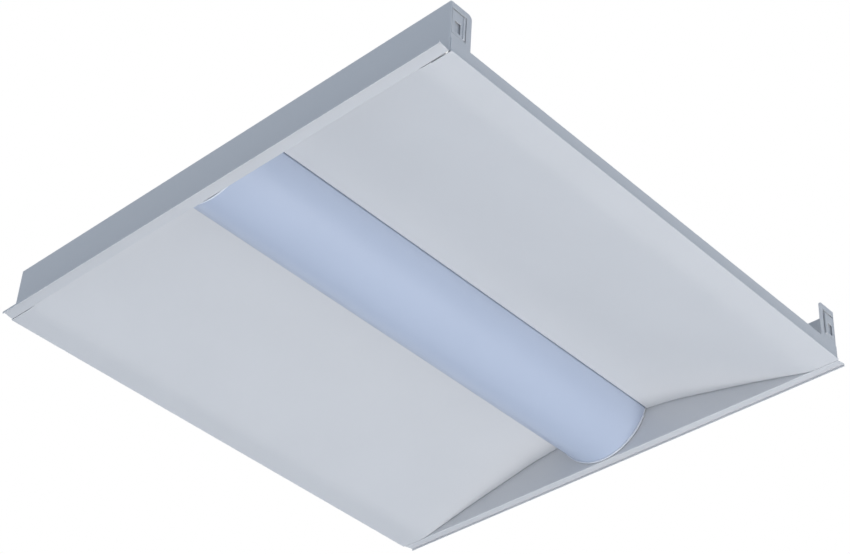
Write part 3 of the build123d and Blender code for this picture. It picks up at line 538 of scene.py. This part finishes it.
white_paint = painted_sheet("white_powder_paint", WING_PAINT, WING_EDGE_HIGHLIGHT, dustiness=0.25)
print("finish:", white_paint.name)

# %% [markdown]
# ## Zinc-coated sheet
#
# The spine, the tray, the cover and the wiring box are never seen from the room, so they
# are left as plated sheet: bright grey metal with a soft spangle, faint rolling lines
# and dust on the flats.

# %% Plated sheet
ZINC = (0.56, 0.58, 0.60, 1.0)
SCREW_ZINC = (0.60, 0.60, 0.58, 1.0)
BRIGHT_STEEL = (0.50, 0.50, 0.51, 1.0)
EDGE_DULLING = 0.72


def plated_sheet(name, colour, cell_size, roughness, dustiness):
    """Bare zinc-coated sheet."""
    material, tree, output, place = new_finish(name)
    crystals = use_group(tree, spangle, place, Cell_Size=cell_size)
    drawn = use_group(tree, lines, place, Spacing=0.0012, Stretch=(1.0, 0.012, 1.0))
    rim = use_group(tree, edges, place, Width=0.0006, Break_Up=0.6)
    lying = use_group(tree, dust, place, Amount=dustiness)
    tone = shaded(tree, colour, crystals["Shade"], strength=0.16)
    tone = mix_colour(tree, rim["Mask"], tone, scaled(colour, EDGE_DULLING))
    tone = mix_colour(tree, lying["Mask"], tone, DUST_COLOUR)
    gloss = varied(tree, roughness, crystals["Shade"], strength=0.18)
    surface(
        tree,
        output,
        Base_Color=tone,
        Metallic=1.0,
        Roughness=math_node(tree, "ADD", gloss, lying["Mask"]),
        Normal=relief(tree, drawn["Height"], depth=0.00003),
    )
    return material


zinc_sheet = plated_sheet("zinc_sheet", ZINC, cell_size=0.007, roughness=0.40, dustiness=0.35)
zinc_screw = plated_sheet(
    "zinc_plated_screw", SCREW_ZINC, cell_size=0.004, roughness=0.30, dustiness=0.10
)
spring_steel = plated_sheet(
    "spring_strip", BRIGHT_STEEL, cell_size=0.02, roughness=0.24, dustiness=0.10
)
print("finishes:", zinc_sheet.name, zinc_screw.name, spring_steel.name)

# %% [markdown]
# ## The diffuser
#
# The lens is extruded acrylic with a frosted skin. Unlit, it is a cool bluish white,
# smoother than the paint around it, with very faint lines along its length where it left
# the die. It could be made a clear plastic with a rough inside, but a lens of that kind is
# close to opaque when the light is off, and a plain frosted surface is what the eye sees.

# %% Diffuser and its end caps
LENS_TINT = (0.499, 0.551, 0.665, 1.0)
CAP_TINT = (0.80, 0.81, 0.85, 1.0)


def frosted(name, colour, roughness, line_depth):
    """Frosted extruded or moulded plastic."""
    material, tree, output, place = new_finish(name)
    frost = use_group(tree, skin, place, Grain_Size=0.0009, Drift_Size=0.12)
    drawn = use_group(tree, lines, place, Spacing=0.0030, Stretch=(1.0, 0.004, 1.0))
    surface(
        tree,
        output,
        Base_Color=shaded(tree, colour, frost["Drift"], strength=0.05),
        Roughness=varied(tree, roughness, frost["Height"], strength=0.12),
        Normal=relief(tree, drawn["Height"], line_depth),
        Coat_Weight=0.18,
        Coat_Roughness=0.35,
    )
    return material


diffuser = frosted("frosted_diffuser", LENS_TINT, roughness=0.36, line_depth=0.00003)
cap_plastic = frosted("cap_plastic", CAP_TINT, roughness=0.42, line_depth=0.00001)
print("finishes:", diffuser.name, cap_plastic.name)

# %% [markdown]
# ## Small plastics, paint and wires
#
# Moulded plastic has a fine spark-eroded grain and nearly even colour. The wire insulation
# is smoother, and its colour says what each lead does: black and white for the supply,
# green for the ground, red and blue between the driver and the boards.

# %% Moulded and extruded plastics
# How much paler the edges of moulded plastic are made: a painted highlight.
EDGE_HIGHLIGHT_GAIN = 1.35
EDGE_HIGHLIGHT_LIFT = 0.02


def moulded(name, colour, roughness, dustiness=0.1):
    """Moulded plastic or smooth insulation."""
    material, tree, output, place = new_finish(name)
    grain = use_group(tree, skin, place, Grain_Size=0.0005, Drift_Size=0.02)
    rim = use_group(tree, edges, place, Width=0.0004, Break_Up=0.5)
    lying = use_group(tree, dust, place, Amount=dustiness)
    tone = shaded(tree, colour, grain["Drift"], strength=0.10)
    # Paler edges: a painted highlight along the edges of the plastic.
    tone = mix_colour(tree, rim["Mask"], tone, scaled(colour, EDGE_HIGHLIGHT_GAIN, EDGE_HIGHLIGHT_LIFT))
    tone = mix_colour(tree, lying["Mask"], tone, DUST_COLOUR)
    surface(
        tree,
        output,
        Base_Color=tone,
        Roughness=varied(tree, roughness, grain["Height"], strength=0.15),
        Normal=relief(tree, grain["Height"], depth=0.00001),
    )
    return material


PLASTICS = {
    # material slot: colour, roughness
    "board_white": ((0.80, 0.80, 0.77, 1.0), 0.42),
    "white_plastic": ((0.74, 0.73, 0.69, 1.0), 0.38),
    "orange_plastic": ((0.72, 0.23, 0.03, 1.0), 0.36),
    "grey_plastic": ((0.16, 0.17, 0.18, 1.0), 0.44),
    "black_plastic": ((0.015, 0.015, 0.016, 1.0), 0.48),
    "black_insulation": ((0.012, 0.012, 0.013, 1.0), 0.34),
    "white_insulation": ((0.72, 0.72, 0.70, 1.0), 0.34),
    "green_insulation": ((0.015, 0.22, 0.05, 1.0), 0.34),
    "red_insulation": ((0.46, 0.015, 0.012, 1.0), 0.34),
    "blue_insulation": ((0.015, 0.035, 0.36, 1.0), 0.34),
}
plastics = {name: moulded(name, colour, rough) for name, (colour, rough) in PLASTICS.items()}
print("plastics:", len(plastics))

# %% Paint on the driver and the ground screw
DRIVER_WHITE = (0.72, 0.72, 0.71, 1.0)
DRIVER_EDGE = (0.5, 0.5, 0.5, 1.0)
GROUND_GREEN = (0.02, 0.24, 0.06, 1.0)
GROUND_EDGE = (0.2, 0.4, 0.2, 1.0)

driver_paint = painted_sheet("driver_white_paint", DRIVER_WHITE, DRIVER_EDGE, dustiness=0.2)
green_paint = painted_sheet("green_screw_paint", GROUND_GREEN, GROUND_EDGE, dustiness=0.1)
print("paints:", driver_paint.name, green_paint.name)

# %% [markdown]
# ## Phosphor
#
# Each diode is a white package with a yellow window of phosphor in its lower face. Its
# colour doesn't need to follow a pattern, because every diode gets a body and a window of
# its own further down.

# %% Phosphor of the diodes
PHOSPHOR_YELLOW = (0.80, 0.60, 0.10, 1.0)

phosphor = moulded("phosphor", PHOSPHOR_YELLOW, roughness=0.30, dustiness=0.0)
print("finish:", phosphor.name)

# %% [markdown]
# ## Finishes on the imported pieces
#
# The record names a material slot for every piece of the model. A table from slot to
# finish is enough to dress all of them, and a piece added to the model later is dressed
# without a change here, as long as its slot is in the table.

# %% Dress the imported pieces
FINISHES = {
    "painted_steel": white_paint,
    "plated_steel": zinc_sheet,
    "diffuser": diffuser,
    "cap_plastic": cap_plastic,
    "spring_steel": spring_steel,
    "zinc_screw": zinc_screw,
    "diode": phosphor,
    "driver_paint": driver_paint,
    "green_screw": green_paint,
    **plastics,
}

for subpart in frame["record"]["subparts"]:
    piece = nodes[subpart["node"]]
    piece.data.materials.clear()
    piece.data.materials.append(FINISHES[subpart["material_slot"]])

# %% [markdown]
# ## Where the small pieces sit
#
# Screws and diodes come in sets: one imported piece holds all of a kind. To put a finer shape
# in the place of each, the set is taken apart again. Its triangles are loose, so a copy is
# merged first, and then every group of joined vertices is one screw or one diode. The places
# could be typed in as numbers, but they would go wrong as soon as the model changes.

# %% Take a set apart
MERGE_DISTANCE = 0.00002


def members(node):
    """The (lowest corner, highest corner) of every separate piece in a packed set."""
    bm = bmesh.new()
    bm.from_mesh(nodes[node].data)
    bmesh.ops.remove_doubles(bm, verts=bm.verts, dist=MERGE_DISTANCE)
    left = set(bm.verts)
    found = []
    while left:
        front = [left.pop()]
        group = list(front)
        while front:
            reached = front.pop()
            near = {edge.other_vert(reached) for edge in reached.link_edges}
            fresh = [vert for vert in near if vert in left]
            left.difference_update(fresh)
            front.extend(fresh)
            group.extend(fresh)
        low = Vector([min(vert.co[i] for vert in group) for i in range(3)])
        high = Vector([max(vert.co[i] for vert in group) for i in range(3)])
        found.append((low, high))
    bm.free()
    return sorted(found, key=lambda corners: tuple(corners[0]))


for node in ("board_screws", "driver_screws", "diodes_left", "diodes_right"):
    print(node, len(members(node)))

# %% [markdown]
# ## Turned shapes
#
# A screw and the mark of a weld are both round, so both are turned: half the outline is drawn
# once and spun about the upright axis. The spin meets itself at a seam and at each pole, and
# those doubled vertices are merged there. A finished shape is then moved to its place and joined
# to the others of its set.

# %% Turn an outline and add the shape to a set
SEAM_DISTANCE = MERGE_DISTANCE / 10


def turned(outline, steps):
    """A new bmesh turned from (radius, height) points, with its seam and poles closed."""
    made = bmesh.new()
    points = [made.verts.new((radius, 0.0, height)) for radius, height in outline]
    sides = [made.edges.new(pair) for pair in zip(points, points[1:])]
    bmesh.ops.spin(
        made,
        geom=points + sides,
        cent=(0, 0, 0),
        axis=(0, 0, 1),
        dvec=(0, 0, 0),
        angle=2 * math.pi,
        steps=steps,
        use_merge=True,
    )
    bmesh.ops.remove_doubles(made, verts=made.verts, dist=SEAM_DISTANCE)
    return made


def add_shape(bm, made, place):
    """Turn a finished shape's faces outwards, move it by place and add it to a set."""
    bmesh.ops.recalc_face_normals(made, faces=made.faces)
    made.transform(place)
    one = bpy.data.meshes.new("one_shape")
    made.to_mesh(one)
    made.free()
    bm.from_mesh(one)
    bpy.data.meshes.remove(one)


print("seams close within", SEAM_DISTANCE)

# %% [markdown]
# ## Screws
#
# The screws of the boards and the driver are thread-forming pan heads; those of the cover and
# the box are slotted, as packed. A head is cold-formed: a flat crown, a round
# shoulder and a cross recess punched in while the blank is upset. So the head is turned from
# half its outline, with a round opening left in the crown; the crown is then filled between
# that opening and the outline of a cross, and the cross is pushed down and narrowed as the
# punch does. The shank follows below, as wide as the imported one.

# %% One screw
HEAD_SIDES = 24
HEAD_OUTLINE = ((0.62, 1.0), (0.84, 0.90), (0.96, 0.66), (1.0, 0.36), (1.0, 0.0))
SHANK_OUTLINE = ((1.0, 0.0), (1.0, 0.82), (0.45, 1.0), (0.0, 1.0))
CROSS_ARM = 0.46
CROSS_HALF_WIDTH = 0.12
CROSS_TAPER = 0.62
CROSS_DEPTH = 0.55


def add_screw(bm, head_radius, head_height, shank_radius, shank_length, place):
    """Add a pan-head screw whose head stands on the origin, upright, moved by place."""
    outline = [(r * head_radius, z * head_height) for r, z in HEAD_OUTLINE]
    outline += [(r * shank_radius, -z * shank_length) for r, z in SHANK_OUTLINE]
    made = turned(outline, HEAD_SIDES)
    opening = [edge for edge in made.edges if edge.is_boundary]
    arm, half = CROSS_ARM * head_radius, CROSS_HALF_WIDTH * head_radius
    quarter = [(arm, -half), (arm, half), (half, half)]
    cross = []
    for turn in range(4):
        for x, y in quarter:
            spot = Matrix.Rotation(turn * math.pi / 2, 3, "Z") @ Vector((x, y, head_height))
            cross.append(made.verts.new(spot))
    ring = [made.edges.new((cross[i - 1], cross[i])) for i in range(len(cross))]
    bmesh.ops.triangle_fill(made, edges=opening + ring, use_beauty=True, use_dissolve=False)
    floor_of_cross = bmesh.ops.extrude_edge_only(made, edges=ring)["geom"]
    bottom = [item for item in floor_of_cross if isinstance(item, bmesh.types.BMVert)]
    for vert in bottom:
        vert.co.x *= CROSS_TAPER
        vert.co.y *= CROSS_TAPER
        vert.co.z -= CROSS_DEPTH * head_height
    rim = [item for item in floor_of_cross if isinstance(item, bmesh.types.BMEdge)]
    bmesh.ops.triangle_fill(
        made, edges=[edge for edge in rim if edge.is_boundary], use_beauty=True, use_dissolve=False
    )
    add_shape(bm, made, place)


print("screw head:", HEAD_SIDES, "sides")

# %% Screws in their places
UPSIDE_DOWN = Matrix.Rotation(math.pi, 4, "X")
TURN_PER_SCREW = 0.7  # radians, so that no two crosses in a row point the same way
SCREW_SETS = {
    # node: body, head radius, head height, shank radius, whether its head points down
    "board_screws": ("housing", 0.0026, 0.0014, 0.0014, True),
    "driver_screws": ("housing", 0.0032, 0.0018, 0.0017, False),
}

for node, (body, head_radius, head_height, shank_radius, head_down) in SCREW_SETS.items():
    bm = bmesh.new()
    for number, (low, high) in enumerate(members(node)):
        middle = (low + high) / 2
        seat = low.z + head_height if head_down else high.z - head_height
        own_turn = Matrix.Rotation(TURN_PER_SCREW * number, 4, "Z")
        place = Matrix.Translation((middle.x, middle.y, seat)) @ own_turn
        if head_down:
            place = place @ UPSIDE_DOWN
        shank_length = high.z - low.z - head_height
        add_screw(bm, head_radius, head_height, shank_radius, shank_length, place)
    screws = mesh_object(node + "_recessed", bm)
    screws.data.materials.append(zinc_screw)
    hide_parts(node)
    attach(screws, body)
    print(screws.name, len(screws.data.polygons), "faces")

# %% [markdown]
# ## Diodes
#
# A mid-power diode is a white moulded package, open towards the room, filled flush with
# yellow phosphor. The package is a box whose lower face is inset and pushed in, so that it
# keeps its walls; the filling is a thin slab in that pocket. There are dozens of them, so each
# has only a handful of faces.

# %% Packages and phosphor
PACKAGE_WALL = 0.00042
POCKET_DEPTH = 0.00018
FILL_GAP = 0.00002
FILL_BEVEL = 0.25  # of the filling's thickness

for side in ("left", "right"):
    node = "diodes_" + side
    packages, windows = bmesh.new(), bmesh.new()
    for low, high in members(node):
        size, middle = high - low, (low + high) / 2
        place = Matrix.Translation(middle) @ Matrix.Diagonal((*size, 1.0))
        made = bmesh.ops.create_cube(packages, size=1.0, matrix=place)["verts"]
        faces = {face for vert in made for face in vert.link_faces}
        lower = min(faces, key=lambda face: face.calc_center_median().z)
        bmesh.ops.inset_region(packages, faces=[lower], thickness=PACKAGE_WALL)
        for vert in lower.verts:
            vert.co.z += POCKET_DEPTH
        slab = Vector((size.x - 2 * PACKAGE_WALL, size.y - 2 * PACKAGE_WALL, POCKET_DEPTH))
        slab -= Vector((2 * FILL_GAP, 2 * FILL_GAP, 2 * FILL_GAP))
        centre = Vector((middle.x, middle.y, low.z + POCKET_DEPTH / 2))
        place = Matrix.Translation(centre) @ Matrix.Diagonal((*slab, 1.0))
        made = bmesh.ops.create_cube(windows, size=1.0, matrix=place)["verts"]
        bmesh.ops.bevel(
            windows,
            geom=list({edge for vert in made for edge in vert.link_edges}),
            offset=slab.z * FILL_BEVEL,
            affect="EDGES",
            segments=1,
            profile=0.5,
            material=-1,
        )
    for kind, bm, finish in (
        ("packages", packages, plastics["white_plastic"]),
        ("phosphor", windows, phosphor),
    ):
        bmesh.ops.recalc_face_normals(bm, faces=bm.faces)
        piece = mesh_object(f"{node}_{kind}", bm)
        piece.data.materials.append(finish)
        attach(piece, "housing")
        if kind == "packages":
            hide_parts(node)
        print(piece.name, len(piece.data.polygons), "faces")

# %% [markdown]
# ## Spot welds
#
# The plated spine is held to the painted wings by rows of spot welds through its flanges. A
# weld leaves a shallow round dent with a slightly raised rim. The mark is turned from its
# outline, and a ray cast down on the flange finds the height and the tilt at which it lies.

# %% One weld mark
WELD_RADIUS = 0.0026
WELD_RIM = 0.00012
WELD_ROOT = 0.00015
WELD_SIDES = 14
WELD_OUTLINE = (
    (0.0, WELD_RIM / 6),
    (0.55 * WELD_RADIUS, WELD_RIM / 5),
    (0.78 * WELD_RADIUS, WELD_RIM),
    (0.92 * WELD_RADIUS, WELD_RIM),
    (WELD_RADIUS, 0.0),
    (0.94 * WELD_RADIUS, -WELD_ROOT),
    (0.0, -WELD_ROOT),
)


def add_weld(bm, spot, normal):
    """Add a dented disc with a raised rim, sunk slightly into the sheet at spot."""
    tilt = normal.to_track_quat("Z", "Y").to_matrix().to_4x4()
    add_shape(bm, turned(WELD_OUTLINE, WELD_SIDES), Matrix.Translation(spot) @ tilt)


print("weld mark:", WELD_SIDES, "sides")

# %% Rows of welds on the flanges
WELD_NODE = "spine_channel"
WELD_ROWS = (-0.0765, 0.0765)  # distances across from the middle
WELD_REACH = 0.270  # from the middle to the first and the last weld of a row
WELDS_IN_ROW = 10
ABOVE_ALL = 0.2
HIGHEST_FLANGE = 0.050  # a ray that stops higher has met something else
DOWN = Vector((0, 0, -1))

mesh = nodes[WELD_NODE].data
tree_of_faces = BVHTree.FromPolygons(
    [vert.co for vert in mesh.vertices], [face.vertices for face in mesh.polygons]
)
bm = bmesh.new()
marked = 0
for x in WELD_ROWS:
    for number in range(WELDS_IN_ROW):
        y = -WELD_REACH + 2 * WELD_REACH * number / (WELDS_IN_ROW - 1)
        spot, normal, _, _ = tree_of_faces.ray_cast(Vector((x, y, ABOVE_ALL)), DOWN)
        if spot is None or spot.z > HIGHEST_FLANGE:
            continue
        add_weld(bm, spot, normal if normal.z > 0 else -normal)
        marked += 1
welds = mesh_object(WELD_NODE + "_welds", bm)
welds.data.materials.append(zinc_sheet)
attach(welds, "housing")
print(welds.name, marked)
